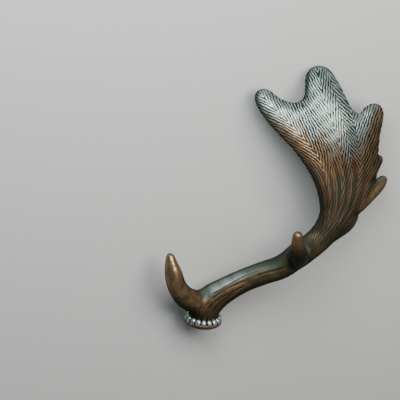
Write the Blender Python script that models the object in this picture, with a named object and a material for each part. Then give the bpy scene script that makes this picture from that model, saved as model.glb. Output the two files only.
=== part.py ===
"""A fallow deer antler, lying on its inner side.

The antler is laid out as it grows, seen from its outer side: X to the rear of the deer, Y to the
middle of the head and Z up, from the middle of the burr. It is blocked out with tapered tubes and
one dished blade, fused by a voxel remesh, and drawn onto a smooth skin with a fillet at each fork.
Then it is cut at its main forks, given its pearls, and turned to lie as a loose antler rests.
"""

import math

import bmesh
import bpy
import numpy as np
from mathutils import Euler, Matrix, Vector

MM = 0.001


def metres(rows):
    """Turn rows of millimetres into an array of metres."""
    return np.array(rows, dtype=float) * MM


# Routes, each row x, y, z and radius in millimetres, from the root of a piece to its tip
BEAM = metres([
    (1.5, -6, 7, 22.5), (4, -12, 17, 26), (16, -20.5, 31.5, 25), (36.5, -29, 45, 22),
    (68, -37.5, 61.5, 20), (102, -46, 74.5, 20), (134, -52.5, 85.5, 20.5), (161.5, -59.5, 105, 21),
    (187, -64.5, 125, 20.5), (206.5, -71.5, 146.5, 20), (219, -83.5, 172.5, 19.5)])
BROW_TINE = metres([
    (-11, -30.5, 24, 21), (-31, -57, 34.5, 18.5), (-44, -75, 52, 16.5), (-49.5, -86.5, 71, 15.5),
    (-53.5, -93.5, 88.5, 11.5), (-55.5, -97, 101.5, 8)])
TRAY_TINE = metres([
    (163, -64.5, 105.5, 18.5), (161.5, -92.5, 101.5, 17), (161.5, -118.5, 103, 16),
    (161.5, -144.5, 110.5, 14.5), (161.5, -168.5, 123.5, 12), (161, -182, 137.5, 9)])
PALM_RIM = metres([
    (209, -76.5, 144, 16.5), (217, -95, 175, 15.5), (214.5, -119, 204, 15),
    (208.5, -137.5, 229.5, 16), (195.5, -151.5, 257.5, 15.5), (176, -161.5, 283.5, 15),
    (155, -168.5, 309, 15), (133.5, -173.5, 333, 14.5), (117, -175, 353.5, 14.5),
    (103.5, -175, 372, 13)])
REAR_SPUR = metres([
    (221, -61, 154.5, 20.5), (238, -34, 161.5, 18.5), (249.5, -8.5, 170, 14.5), (255, 14.5, 181.5, 10)])
LOWER_POINT = metres([
    (265, -67, 189.5, 11.5), (284, -57, 209, 11.8), (298, -48, 223, 10.8), (305.5, -41.5, 233, 8.5)])
UPPER_POINT = metres([(280.5, -85, 246.5, 12), (290.5, -76.5, 258.5, 9.5), (298, -73, 267, 8)])

# Outline of the palm, x and z in millimetres, from the front speller down the front edge and round
PALM_OUTLINE = metres([
    (102, 388), (91, 383), (88, 372), (93, 355), (110, 331), (132, 307), (154, 286), (173, 259),
    (188, 233), (196, 207), (200, 185), (199, 163), (188, 145), (173, 128), (168, 110), (175, 94),
    (190, 101), (210, 115), (228, 133), (249, 153), (267, 176.5), (281, 197.5), (290, 219), (296, 240),
    (298, 264), (299, 279), (301, 303), (305, 326), (308, 344), (303, 359), (290, 364), (275, 357),
    (266, 346), (253, 355), (240, 381), (227, 405), (214, 422), (198, 428), (182, 422), (174, 409),
    (173, 389), (171, 374), (162, 366), (149, 365), (132, 372), (115, 384)])

# Places on the palm: x, z, then y of its middle layer, half its thickness, and the width of its round edge
PALM_STATIONS = metres([
    (100.5, 374, -177, 11, 15.5), (122.5, 348.5, -178.5, 11, 18.5), (158, 301, -171.5, 10.5, 22),
    (187, 253.5, -151.5, 10, 22), (200.5, 199, -112, 12, 24), (195.5, 144.5, -73, 18.5, 27),
    (182, 114, -64.5, 20.5, 24), (199, 403, -149.5, 18, 26.5), (202.5, 360.5, -165, 14.5, 25.5),
    (216, 309.5, -166.5, 10, 25.5), (229.5, 258.5, -146, 9.5, 25.5), (238, 207.5, -109, 12, 25.5),
    (224.5, 156.5, -76.5, 18.5, 25.5), (290.5, 352, -127.5, 10, 16), (280.5, 318, -131, 9.5, 22),
    (270.5, 275.5, -122.5, 9, 24), (294, 284, -97, 8, 17), (267, 233, -97, 10, 22),
    (287.5, 233, -71.5, 8.5, 15.5), (260, 194, -73, 12, 18.5), (241.5, 161.5, -59.5, 15.5, 18.5)])
THICKNESS_RANGE = metres([7, 27])
EDGE_RANGE = metres([10, 31])
PLATE_UNIT = 0.1
PLATE_SLACK = 0.0002
BLADE_WALL = 0.012

# How far each fork is filled in
PALM_FILLET = 0.008
RIM_FILLET = 0.007
BROW_FILLET = 0.010
TRAY_FILLET = 0.009
SPUR_FILLET = 0.012
POINT_FILLET = 0.009
BURR_FILLET = 0.005
BEAM_OVAL = 1.18

# Long channels of the palm, which fan out from its base and fade towards the spellers
CHANNELS = 7.5
CHANNEL_DEPTH = 0.0011
CHANNEL_FADE = (0.235, 0.300)
CHANNEL_START = 0.04
CHANNEL_SWAY = 3.0
CHANNEL_BORDER = 0.25
NARROWEST_PALM = 0.01

# Burr, around the axis on which it sat on the skull
BURR_AXIS = Vector((0.10, -0.43, 0.897)).normalized()
BURR_CENTRE = Vector((0.0, 0.0, -0.0040))
BURR_RADIUS = 0.0245
BURR_ROLL = 0.0055
SEAL_RADIUS = 0.0205
SEAL_HEIGHT = 0.0070
SEAL_DROP = 0.0045
SEAL_FILLET = 0.0025

# Pearls, the row of upright beads round the burr, leaning in at the top
PEARLS = 18
PEARL_HALF_WIDTH = 0.0045
PEARL_HALF_HEIGHT = 0.0088
PEARL_HALF_DEPTH = 0.0050
PEARL_RADIUS = 0.0270
PEARL_RAISE = 0.0010
PEARL_LEAN = math.radians(-16)
PEARL_SEGMENTS = 8
PEARL_RINGS = 6

# Fineness of the skin
BLOCK_VOXEL = 0.003
BLOCK_BEVEL = 3
BALL_SEGMENTS = 32
BALL_RINGS = 16
BALL_HALF_HEIGHT = 0.010
BALL_RAISE = 0.003
SKIN_TRIANGLES = 6000
SETTLE_STEPS = 5
SETTLE_REACH = 0.004
LEAST_SLOPE = 0.5
SMOOTH_ROUNDS = 3
PASSES = 2
SLOPE_STEP = 0.0004
SPLINE_STEPS = 4
NOSE_REACH = 0.8
NOSE_TAPER = 0.5

# Cuts at the main forks: the middle of the cut, the way it faces, its two half widths, millimetres
SAW_CUT = 0.0003
SEED_STEP = 3 * SAW_CUT
SEED_SLACK = 0.4 * SAW_CUT
FORKS = {
    "brow_tine": ((-30, -62, 43), (-0.50, -0.67, 0.55), (34, 34)),
    "tray_tine": ((161.5, -104, 101), (0.0, -1.0, 0.05), (32, 32)),
    "rear_spur": ((244, -19, 167), (0.38, 0.87, 0.30), (28, 28)),
    "palm": ((196, -72, 133), (0.62, -0.18, 0.76), (40, 48)),
    "front_speller": ((147, -170, 340.5), (-0.87, 0.0, 0.49), (43, 40)),
    "top_speller": ((214.8, -165, 360.6), (0.25, 0.0, 0.968), (49.5, 45)),
    "rear_speller": ((283, -127, 324), (0.80, 0.0, 0.60), (34, 40)),
}

# How the antler lies: three turns in degrees and a shift in metres
REST_TURN = (-119.944, -17.767, 120.525)
REST_SHIFT = (0.236084, -0.019219, 0.030297)

# Colour, roughness and metallic value of each piece
FINISHES = {
    "beam": ((0.20, 0.15, 0.09), 0.34, 0.55),
    "brow_tine": ((0.24, 0.15, 0.08), 0.26, 0.60),
    "tray_tine": ((0.24, 0.15, 0.08), 0.26, 0.60),
    "rear_spur": ((0.22, 0.16, 0.09), 0.28, 0.60),
    "palm": ((0.25, 0.13, 0.07), 0.38, 0.50),
    "front_speller": ((0.24, 0.27, 0.22), 0.32, 0.55),
    "top_speller": ((0.28, 0.31, 0.26), 0.32, 0.55),
    "rear_speller": ((0.24, 0.25, 0.19), 0.34, 0.55),
}


def clear_scene():
    """Remove the objects that the file opens with."""
    for obj in list(bpy.data.objects):
        bpy.data.objects.remove(obj, do_unlink=True)


def spline(rows, steps=SPLINE_STEPS, closed=False):
    """Points along a smooth curve through rows, with every column carried along."""
    count = len(rows)
    if closed:
        padded = np.vstack([rows[-1:], rows, rows[:2]])
        spans = count
    else:
        padded = np.vstack([2 * rows[:1] - rows[1:2], rows, 2 * rows[-1:] - rows[-2:-1]])
        spans = count - 1
    points = []
    for span in range(spans):
        before, start, end, after = padded[span:span + 4]
        for step in range(steps):
            t = step / steps
            bend = (2 * before - 5 * start + 4 * end - after) * t ** 2
            twist = (3 * start - before - 3 * end + after) * t ** 3
            points.append(0.5 * (2 * start + (end - before) * t + bend + twist))
    if not closed:
        points.append(rows[-1])
    return np.array(points)


def fillet(first, second, width):
    """Join two distances so that their edge is filled over the given width."""
    mix = np.clip(0.5 + 0.5 * (second - first) / width, 0, 1)
    return second + (first - second) * mix - width * mix * (1 - mix)


def along_segment(points, start, end):
    """Distance to a segment, and how far along it the nearest place is, from 0 to 1."""
    run = end - start
    along = np.clip((points - start) @ run / (run @ run), 0, 1)
    gap = points - start - along[:, None] * run
    return np.sqrt((gap * gap).sum(axis=1)), along


def tube_distance(points, rows, oval=1.0):
    """Distance to a tapered round tube; oval widens it along Y."""
    squeeze = np.array([1, 1 / oval, 1])
    line = spline(rows)
    middle = line[:, :3] * squeeze
    radius = line[:, 3]
    squeezed = points * squeeze
    nearest = np.full(len(points), np.inf)
    for i in range(len(line) - 1):
        away, along = along_segment(squeezed, middle[i], middle[i + 1])
        nearest = np.minimum(nearest, away - radius[i] - (radius[i + 1] - radius[i]) * along)
    return nearest


OUTLINE = spline(PALM_OUTLINE, closed=True)


def outline_depth(flat):
    """How far each place lies inside the palm's outline, negative outside it."""
    nearest = np.full(len(flat), np.inf)
    inside = np.zeros(len(flat), dtype=bool)
    for start, end in zip(OUTLINE, np.roll(OUTLINE, -1, axis=0)):
        away, along = along_segment(flat, start, end)
        nearest = np.minimum(nearest, away)
        spans = (start[1] > flat[:, 1]) != (end[1] > flat[:, 1])
        rise = end[1] - start[1]
        if rise:
            crossing = start[0] + (flat[:, 1] - start[1]) / rise * (end[0] - start[0])
            inside ^= spans & (flat[:, 0] < crossing)
    return np.where(inside, nearest, -nearest)


def plate_bend(square):
    """The bending function of a thin plate, from the square of a distance."""
    return np.where(square > 0, 0.5 * square * np.log(np.maximum(square, 1e-12)), 0)


def fit_plate(places, values):
    """Weights of the smooth sheet that takes the given values at the given places."""
    count = len(places)
    square = ((places[:, None] - places[None]) ** 2).sum(axis=2)
    system = np.zeros((count + 3, count + 3))
    system[:count, :count] = plate_bend(square) + PLATE_SLACK * np.eye(count)
    system[:count, count] = 1
    system[:count, count + 1:] = places
    system[count:, :count] = system[:count, count:].T
    return np.linalg.solve(system, np.vstack([values, np.zeros((3, values.shape[1]))]))


STATION_PLACES = PALM_STATIONS[:, :2] / PLATE_UNIT
STATION_WEIGHTS = fit_plate(STATION_PLACES, PALM_STATIONS[:, 2:])


def sheet(flat):
    """Middle layer, half thickness and edge width of the palm, and the slope of its middle layer."""
    places = flat / PLATE_UNIT
    gap = places[:, None] - STATION_PLACES[None]
    square = (gap ** 2).sum(axis=2)
    count = len(STATION_PLACES)
    values = plate_bend(square) @ STATION_WEIGHTS[:count] + STATION_WEIGHTS[count]
    values = values + places @ STATION_WEIGHTS[count + 1:]
    pull = (np.log(np.maximum(square, 1e-12)) + 1) * STATION_WEIGHTS[:count, 0]
    lean = (gap * pull[:, :, None]).sum(axis=1) + STATION_WEIGHTS[count + 1:, 0]
    slope = np.sqrt(1 + ((lean / PLATE_UNIT) ** 2).sum(axis=1))
    return values[:, 0], np.clip(values[:, 1], *THICKNESS_RANGE), np.clip(values[:, 2], *EDGE_RANGE), slope


def palm_distance(points):
    """Distance to the dished blade of the palm, thick along its middle and round at its edge."""
    flat = points[:, [0, 2]]
    middle, thick, edge, slope = sheet(flat)
    across = (points[:, 1] - middle) / slope
    outside = np.maximum(edge - outline_depth(flat), 0)
    return (np.sqrt((outside / edge) ** 2 + (across / thick) ** 2) - 1) * np.minimum(thick, edge)


def burr_distance(points):
    """Distance to the rolled crown at the foot of the beam and the seal below it."""
    offset = points - np.array(BURR_CENTRE)
    height = offset @ np.array(BURR_AXIS)
    radius = np.sqrt(np.maximum((offset ** 2).sum(axis=1) - height ** 2, 0))
    crown = np.hypot(np.maximum(radius - BURR_RADIUS, 0), height) - BURR_ROLL
    dome = np.hypot(radius / SEAL_RADIUS, (height + SEAL_DROP) / SEAL_HEIGHT) - 1
    return fillet(crown, dome * SEAL_HEIGHT, SEAL_FILLET)


def edge_place(height, side):
    """X of the palm's front or rear edge at each height."""
    order = np.argsort(side[:, 1])
    return np.interp(height, side[order, 1], side[order, 0])


FRONT_EDGE = PALM_OUTLINE[4:16]
REAR_EDGE = PALM_OUTLINE[15:29]


def channel_relief(points):
    """Depth of the long channels on the palm, which follow its two edges and fan out between them."""
    front = edge_place(points[:, 2], FRONT_EDGE)
    rear = edge_place(points[:, 2], REAR_EDGE)
    across = (points[:, 0] - front) / np.maximum(rear - front, NARROWEST_PALM)
    sway = CHANNEL_SWAY * np.sin(CHANNEL_SWAY * across)
    wave = 0.5 - 0.5 * np.cos(2 * math.pi * CHANNELS * across + sway)
    low, high = CHANNEL_FADE
    fade = np.clip((high - points[:, 2]) / (high - low), 0, 1)
    start = np.clip((points[:, 2] - FRONT_EDGE[-1, 1]) / CHANNEL_START, 0, 1)
    within = np.clip(across / CHANNEL_BORDER, 0, 1) * np.clip((1 - across) / CHANNEL_BORDER, 0, 1)
    return CHANNEL_DEPTH * wave * fade * start * within


def skin_distance(points):
    """Distance to the skin of the whole antler, negative inside it."""
    distance = tube_distance(points, BEAM, BEAM_OVAL)
    distance = fillet(distance, palm_distance(points), PALM_FILLET)
    distance = fillet(distance, tube_distance(points, PALM_RIM), RIM_FILLET)
    distance = fillet(distance, tube_distance(points, BROW_TINE), BROW_FILLET)
    distance = fillet(distance, tube_distance(points, TRAY_TINE), TRAY_FILLET)
    distance = fillet(distance, tube_distance(points, REAR_SPUR), SPUR_FILLET)
    distance = fillet(distance, tube_distance(points, LOWER_POINT), POINT_FILLET)
    distance = fillet(distance, tube_distance(points, UPPER_POINT), POINT_FILLET)
    distance = fillet(distance, burr_distance(points), BURR_FILLET)
    return distance + channel_relief(points)


def settle(points):
    """Draw points that lie near the skin onto it, along the slope of the distance."""
    for _ in range(SETTLE_STEPS):
        here = skin_distance(points)
        slope = np.empty_like(points)
        for axis in range(3):
            moved = points.copy()
            moved[:, axis] += SLOPE_STEP
            slope[:, axis] = (skin_distance(moved) - here) / SLOPE_STEP
        steep = np.maximum((slope ** 2).sum(axis=1), LEAST_SLOPE ** 2)
        move = -here[:, None] * slope / steep[:, None]
        length = np.maximum(np.linalg.norm(move, axis=1), 1e-9)
        points = points + move * np.minimum(1, SETTLE_REACH / length)[:, None]
    return points


def even_out(points, edges):
    """Move each point halfway to the middle of its neighbours, which evens the faces out."""
    total = np.zeros_like(points)
    count = np.zeros(len(points))
    for near, far in ((0, 1), (1, 0)):
        np.add.at(total, edges[:, near], points[edges[:, far]])
        np.add.at(count, edges[:, near], 1)
    return 0.5 * points + 0.5 * total / count[:, None]


def link(obj):
    """Put an object in the scene and return it."""
    bpy.context.scene.collection.objects.link(obj)
    return obj


def evaluated_mesh(obj):
    """The object's mesh with its modifiers, as a new mesh."""
    view = bpy.context.evaluated_depsgraph_get()
    return bpy.data.meshes.new_from_object(obj.evaluated_get(view), depsgraph=view)


def discard(obj):
    """Remove a construction object."""
    bpy.data.objects.remove(obj, do_unlink=True)


def nosed(line):
    """A route carried on past its tip by a blunt nose, so that its filled end lies ahead of the tip."""
    ahead = line[-1, :3] - line[-2, :3]
    nose = line[-1].copy()
    nose[:3] += ahead / np.linalg.norm(ahead) * NOSE_REACH * line[-1, 3]
    nose[3] *= NOSE_TAPER
    return np.vstack([line, nose])


def block_tube(name, rows):
    """A tapered tube along a route: a curve with a round bevel and filled ends."""
    line = nosed(spline(rows))
    curve = bpy.data.curves.new(name, "CURVE")
    curve.dimensions = "3D"
    curve.bevel_depth = 1.0
    curve.bevel_resolution = BLOCK_BEVEL
    curve.use_fill_caps = True
    route = curve.splines.new("POLY")
    route.points.add(len(line) - 1)
    for point, row in zip(route.points, line):
        point.co = (*row[:3], 1.0)
        point.radius = row[3]
    return link(bpy.data.objects.new(name, curve))


def onto_edge(flat, depth):
    """Slide the places next to the palm's outline along it, so that a grid cut there has a clean edge."""
    inward = np.empty_like(flat)
    for axis in range(2):
        moved = flat.copy()
        moved[:, axis] += SLOPE_STEP
        inward[:, axis] = (outline_depth(moved) - depth) / SLOPE_STEP
    beside = np.abs(depth) < 0.5 * BLOCK_VOXEL
    return flat - np.where(beside, depth, 0)[:, None] * inward


def block_blade(name):
    """The palm's blade: a grid trimmed to the outline, bent to the middle layer and thickened."""
    low = OUTLINE.min(axis=0)
    size = OUTLINE.max(axis=0) - low
    cells = np.ceil(size / BLOCK_VOXEL).astype(int)
    bm = bmesh.new()
    bmesh.ops.create_grid(bm, x_segments=cells[0], y_segments=cells[1], size=0.5)
    flat = np.array([(v.co.x + 0.5, v.co.y + 0.5) for v in bm.verts]) * size + low
    depth = outline_depth(flat)
    flat = onto_edge(flat, depth)
    middle = sheet(flat)[0]
    for vert, place, y in zip(bm.verts, flat, middle):
        vert.co = (place[0], y, place[1])
    spare = [vert for vert, inside in zip(bm.verts, depth) if inside < -0.5 * BLOCK_VOXEL]
    bmesh.ops.delete(bm, geom=spare, context="VERTS")
    mesh = bpy.data.meshes.new(name)
    bm.to_mesh(mesh)
    bm.free()
    blade = link(bpy.data.objects.new(name, mesh))
    wall = blade.modifiers.new("wall", "SOLIDIFY")
    wall.thickness = BLADE_WALL
    wall.offset = 0
    return blade


def block_burr(name):
    """The seal and crown of the burr as one squat ball."""
    bm = bmesh.new()
    bmesh.ops.create_uvsphere(bm, u_segments=BALL_SEGMENTS, v_segments=BALL_RINGS, radius=1.0)
    half_width = BURR_RADIUS + BURR_ROLL
    bmesh.ops.scale(bm, verts=bm.verts, vec=(half_width, half_width, BALL_HALF_HEIGHT))
    bmesh.ops.translate(bm, verts=bm.verts, vec=(0, 0, BALL_RAISE))
    turn = BURR_AXIS.to_track_quat("Z", "Y").to_matrix().to_4x4()
    bmesh.ops.transform(bm, verts=bm.verts, matrix=Matrix.Translation(BURR_CENTRE) @ turn)
    mesh = bpy.data.meshes.new(name)
    bm.to_mesh(mesh)
    bm.free()
    return link(bpy.data.objects.new(name, mesh))


def fused_block():
    """All the blocked-out shapes fused into one closed mesh of even squares."""
    routes = {
        "beam block": BEAM, "brow block": BROW_TINE, "tray block": TRAY_TINE, "rim block": PALM_RIM,
        "spur block": REAR_SPUR, "lower block": LOWER_POINT, "upper block": UPPER_POINT}
    blocks = [block_tube(name, rows) for name, rows in routes.items()]
    blocks += [block_blade("blade block"), block_burr("burr block")]
    bm = bmesh.new()
    for block in blocks:
        bm.from_mesh(evaluated_mesh(block))
        discard(block)
    mesh = bpy.data.meshes.new("fused")
    bm.to_mesh(mesh)
    bm.free()
    fused = link(bpy.data.objects.new("fused", mesh))
    remesh = fused.modifiers.new("fuse", "REMESH")
    remesh.mode = "VOXEL"
    remesh.voxel_size = BLOCK_VOXEL
    skin = evaluated_mesh(fused)
    discard(fused)
    return skin


def skinned_antler():
    """The fused block drawn onto the smooth skin, then thinned to the faces that its shape needs."""
    skin = fused_block()
    points = np.empty(len(skin.vertices) * 3)
    skin.vertices.foreach_get("co", points)
    points = points.reshape(-1, 3)
    edges = np.empty(len(skin.edges) * 2, dtype=int)
    skin.edges.foreach_get("vertices", edges)
    edges = edges.reshape(-1, 2)
    for _ in range(PASSES):
        for _ in range(SMOOTH_ROUNDS):
            points = even_out(points, edges)
        points = settle(points)
    skin.vertices.foreach_set("co", points.ravel())
    skin.update()
    antler = link(bpy.data.objects.new("antler", skin))
    triangles = sum(len(face.vertices) - 2 for face in skin.polygons)
    thin = antler.modifiers.new("thin", "DECIMATE")
    thin.ratio = SKIN_TRIANGLES / triangles
    thin.use_collapse_triangulate = True
    return antler


def saw(name, place, facing, half_widths):
    """A thin flat cutter across a fork."""
    middle = Vector(place) * MM
    normal = Vector(facing).normalized()
    side = normal.cross(Vector((0, 1, 0)) if abs(normal.y) < 0.6 else Vector((1, 0, 0))).normalized()
    rise = normal.cross(side)
    turn = Matrix((side, rise, normal)).transposed().to_4x4()
    size = Matrix.Diagonal((2 * half_widths[0] * MM, 2 * half_widths[1] * MM, SAW_CUT, 1))
    bm = bmesh.new()
    bmesh.ops.create_cube(bm, size=1.0, matrix=Matrix.Translation(middle) @ turn @ size)
    mesh = bpy.data.meshes.new(name)
    bm.to_mesh(mesh)
    bm.free()
    cutter = link(bpy.data.objects.new(name, mesh))
    cutter.hide_render = True
    cutter.display_type = "WIRE"
    return cutter


def split_at_forks(antler):
    """Saw the antler at its main forks and return one mesh for each piece, by name."""
    cutters = []
    for fork, (place, facing, half_widths) in FORKS.items():
        cutter = saw(f"{fork} saw", place, facing, half_widths)
        cut = antler.modifiers.new(fork, "BOOLEAN")
        cut.operation = "DIFFERENCE"
        cut.object = cutter
        cutters.append(cutter)
    sawn = evaluated_mesh(antler)
    for spare in [antler, *cutters]:
        discard(spare)
    return name_pieces(sawn)


def name_pieces(sawn):
    """Part the sawn mesh into its loose pieces, each named by the fork that it starts from."""
    bm = bmesh.new()
    bm.from_mesh(sawn)
    seeds = {"beam": Vector(BEAM[4, :3])}
    for fork, (place, facing, _) in FORKS.items():
        seeds[fork] = Vector(place) * MM + Vector(facing).normalized() * SEED_STEP
    loose = []
    waiting = set(bm.verts)
    while waiting:
        group = set()
        front = [waiting.pop()]
        while front:
            vert = front.pop()
            group.add(vert)
            for edge in vert.link_edges:
                other = edge.other_vert(vert)
                if other in waiting:
                    waiting.discard(other)
                    front.append(other)
        loose.append(group)
    pieces = {}
    for name, seed in seeds.items():
        owner = min(loose, key=lambda group: cut_distance(group, seed, name))
        pieces[name] = piece_mesh(name, owner)
    bm.free()
    return pieces


def cut_distance(group, seed, name):
    """How far a loose piece lies from the far side of its fork."""
    if name == "beam":
        return min((vert.co - seed).length for vert in group)
    normal = Vector(FORKS[name][1]).normalized()
    gaps = [vert.co - seed for vert in group]
    ahead = [gap.length for gap in gaps if SEED_SLACK - SEED_STEP < gap.dot(normal) < SEED_STEP]
    return min(ahead, default=math.inf)


def piece_mesh(name, group):
    """A new mesh from one loose group of vertices."""
    bm = bmesh.new()
    ordered = sorted(group, key=lambda vert: vert.index)
    copies = {vert: bm.verts.new(vert.co) for vert in ordered}
    faces = {face for vert in ordered for face in vert.link_faces}
    for face in sorted(faces, key=lambda face: face.index):
        bm.faces.new([copies[vert] for vert in face.verts])
    bm.normal_update()
    mesh = bpy.data.meshes.new(name)
    bm.to_mesh(mesh)
    bm.free()
    return mesh


def pearl_ring(name):
    """The pearls that stand round the crown, as one mesh of separate beads."""
    turn = BURR_AXIS.to_track_quat("Z", "Y").to_matrix().to_4x4()
    base = Matrix.Translation(BURR_CENTRE) @ turn
    size = Matrix.Diagonal((PEARL_HALF_DEPTH, PEARL_HALF_WIDTH, PEARL_HALF_HEIGHT, 1))
    outward = Matrix.Translation((PEARL_RADIUS, 0, PEARL_RAISE))
    lean = Matrix.Rotation(PEARL_LEAN, 4, "Y")
    bm = bmesh.new()
    for index in range(PEARLS):
        spin = Matrix.Rotation(2 * math.pi * index / PEARLS, 4, "Z")
        shape = base @ spin @ outward @ lean @ size
        bmesh.ops.create_uvsphere(
            bm, u_segments=PEARL_SEGMENTS, v_segments=PEARL_RINGS, radius=1.0, matrix=shape)
    mesh = bpy.data.meshes.new(name)
    bm.to_mesh(mesh)
    bm.free()
    return mesh


def add_pearls(beam):
    """Fuse the pearls to the beam."""
    ring = link(bpy.data.objects.new("pearl ring", pearl_ring("pearl ring")))
    ring.hide_render = True
    ring.display_type = "WIRE"
    fuse = beam.modifiers.new("pearls", "BOOLEAN")
    fuse.operation = "UNION"
    fuse.object = ring
    fused = evaluated_mesh(beam)
    beam.modifiers.remove(fuse)
    beam.data = fused
    discard(ring)


def finish_material(name):
    """The plain finish of one piece."""
    colour, roughness, metallic = FINISHES[name]
    material = bpy.data.materials.new(f"{name} finish")
    material.use_nodes = True
    shader = material.node_tree.nodes["Principled BSDF"]
    shader.inputs["Base Color"].default_value = (*colour, 1.0)
    shader.inputs["Roughness"].default_value = roughness
    shader.inputs["Metallic"].default_value = metallic
    return material


def lay_down(mesh):
    """Turn and shift a mesh from the way it grows to the way it lies."""
    turn = Euler([math.radians(angle) for angle in REST_TURN]).to_matrix().to_4x4()
    mesh.transform(Matrix.Translation(REST_SHIFT) @ turn)


def main():
    """Build every piece of the antler."""
    clear_scene()
    pieces = split_at_forks(skinned_antler())
    for name, mesh in pieces.items():
        piece = link(bpy.data.objects.new(name, mesh))
        if name == "beam":
            add_pearls(piece)
        lay_down(piece.data)
        piece.data.shade_smooth()
        piece.data.materials.clear()
        piece.data.materials.append(finish_material(name))


main()
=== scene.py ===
"""Looks of a fallow deer antler that lies on its inner side.

The skin of the antler is drawn again from the same routes and blade as the solids, with a slightly
fuller burr, and fine enough to carry its grain: long channels and feathered striae on the palm,
grooves and wrinkles on the beam, flutes and pearls at the burr. Every place is given as the antler
grows, seen from its outer side: X to the rear of the deer, Y to the middle of the head, Z up, from
the middle of the burr. Places in rows, forks and spots are in millimetres, and every other length
is in metres.
"""

import logging
import math
from dataclasses import dataclass
from enum import Enum
from typing import Any, Optional, Union

import bpy
import numpy as np
from mathutils import Euler, Matrix, Vector


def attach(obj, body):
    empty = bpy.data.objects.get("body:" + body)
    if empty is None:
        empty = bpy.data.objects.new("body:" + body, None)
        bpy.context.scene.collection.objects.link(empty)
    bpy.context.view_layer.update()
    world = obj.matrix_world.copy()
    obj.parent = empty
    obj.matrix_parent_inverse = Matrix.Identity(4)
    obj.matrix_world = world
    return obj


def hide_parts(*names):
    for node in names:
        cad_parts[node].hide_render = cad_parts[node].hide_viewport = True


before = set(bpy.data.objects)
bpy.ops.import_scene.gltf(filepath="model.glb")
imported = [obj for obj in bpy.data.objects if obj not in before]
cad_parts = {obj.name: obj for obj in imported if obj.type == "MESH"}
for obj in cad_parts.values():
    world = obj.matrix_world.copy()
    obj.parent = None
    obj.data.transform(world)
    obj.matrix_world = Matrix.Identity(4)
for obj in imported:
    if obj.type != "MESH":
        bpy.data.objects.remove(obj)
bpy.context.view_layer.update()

LOG = logging.getLogger("antler")

MM = 0.001
REST_TURN = (-119.944, -17.767, 120.525)
REST_SHIFT = (0.236084, -0.019219, 0.030297)
MILLIMETRES_PER_PIXEL = 1.7
PHOTO_PIXELS = 400
PHOTO_MIDDLE = (-5.1, -90.0, 198.9)
TINY = 1e-12

Array = np.ndarray
Colour = tuple[float, float, float]
Triple = tuple[float, float, float]
Pair = tuple[float, float]
Spot = tuple[float, float, float, float]


class Region(Enum):
    """The pieces of the skin, each named like the solid that it stands for."""

    BEAM = "beam"
    BROW = "brow_tine"
    TRAY = "tray_tine"
    SPUR = "rear_spur"
    PALM = "palm"
    FRONT = "front_speller"
    TOP = "top_speller"
    REAR = "rear_speller"


def metres(rows: list[tuple[float, ...]]) -> Array:
    """Turn rows of millimetres into an array of metres."""
    return np.array(rows, dtype=float) * MM


def ramp(value: Array, low: float, high: float) -> Array:
    """Rise smoothly from 0 at low to 1 at high, or fall if low is the greater."""
    share = np.clip((value - low) / (high - low), 0, 1)
    return share * share * (3 - 2 * share)


def at_least(floor: float, share: Array) -> Array:
    """Run from the floor to 1 while the share runs from 0 to 1."""
    return floor + (1 - floor) * share


def spline(rows: Array, steps: int = 4, closed: bool = False) -> Array:
    """Draw a smooth curve through rows.

    Args:
        rows: One row for each place, with every column carried along.
        steps: Points for each span.
        closed: Whether the last row joins the first.

    Returns:
        The points of the curve, one row each.
    """
    count = len(rows)
    if closed:
        padded = np.vstack([rows[-1:], rows, rows[:2]])
        spans = count
    else:
        padded = np.vstack([2 * rows[:1] - rows[1:2], rows, 2 * rows[-1:] - rows[-2:-1]])
        spans = count - 1
    points = []
    for span in range(spans):
        before, start, end, after = padded[span:span + 4]
        for step in range(steps):
            t = step / steps
            bend = (2 * before - 5 * start + 4 * end - after) * t ** 2
            twist = (3 * start - before - 3 * end + after) * t ** 3
            points.append(0.5 * (2 * start + (end - before) * t + bend + twist))
    if not closed:
        points.append(rows[-1])
    return np.array(points)


def fillet(first: Array, second: Array, width: float) -> Array:
    """Join two distances so that their edge is filled over the given width."""
    mix = np.clip(0.5 + 0.5 * (second - first) / width, 0, 1)
    return second + (first - second) * mix - width * mix * (1 - mix)


def along_segment(points: Array, start: Array, end: Array) -> tuple[Array, Array]:
    """Measure points against a segment.

    Args:
        points: The points, one row each.
        start: First end of the segment.
        end: Second end of the segment.

    Returns:
        The gap from the nearest place on the segment to each point, and how far along it lies.
    """
    run = end - start
    along = np.clip((points - start) @ run / (run @ run), 0, 1)
    return points - start - along[:, None] * run, along


@dataclass(frozen=True, eq=False)
class Pose:
    """How the antler lies: turned and shifted from the way it grows."""

    turn: Triple = REST_TURN
    shift: Triple = REST_SHIFT

    def matrix(self) -> Matrix:
        """The matrix from the way it grows to the way it lies."""
        turn = Euler([math.radians(angle) for angle in self.turn]).to_matrix().to_4x4()
        return Matrix.Translation(self.shift) @ turn

    def lay(self, points: Array) -> Array:
        """Bring points from the way it grows to the way it lies."""
        matrix = np.array(self.matrix())
        return points @ matrix[:3, :3].T + matrix[:3, 3]

    def lift(self, points: Array) -> Array:
        """Bring points from the way it lies to the way it grows."""
        matrix = np.array(self.matrix())
        return (points - matrix[:3, 3]) @ matrix[:3, :3]

    def direction(self, vector: Triple) -> Vector:
        """Turn a direction from the way it grows to the way it lies."""
        return (self.matrix().to_3x3() @ Vector(vector)).normalized()


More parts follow.
